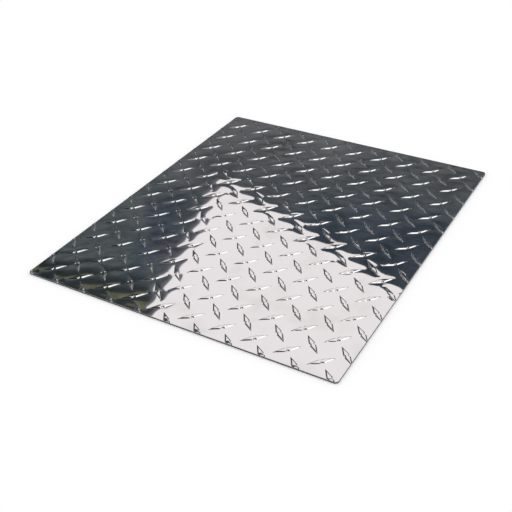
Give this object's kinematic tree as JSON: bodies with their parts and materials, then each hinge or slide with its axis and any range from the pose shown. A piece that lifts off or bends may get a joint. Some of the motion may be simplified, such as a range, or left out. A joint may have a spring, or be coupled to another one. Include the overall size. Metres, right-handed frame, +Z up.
{
  "type": "checker plate",
  "caption": "Flat rectangular sheet of bright rolled aluminium with raised diamond-shaped lugs in two crossing directions on its upper face, used as a slip-resistant tread or cover",
  "frame": {"origin": "middle of the flat underside", "axes": "+X across the shorter side, +Y along the longer side, +Z up through the face with the lugs"},
  "size_m": [0.381, 0.4572, 0.003],
  "materials": {
    "bright_aluminium": "bright rolled, close to a mirror, with sheared edges"
  },
  "bodies": {
    "root": {"checker_plate": "bright_aluminium"}
  },
  "joints": []
}
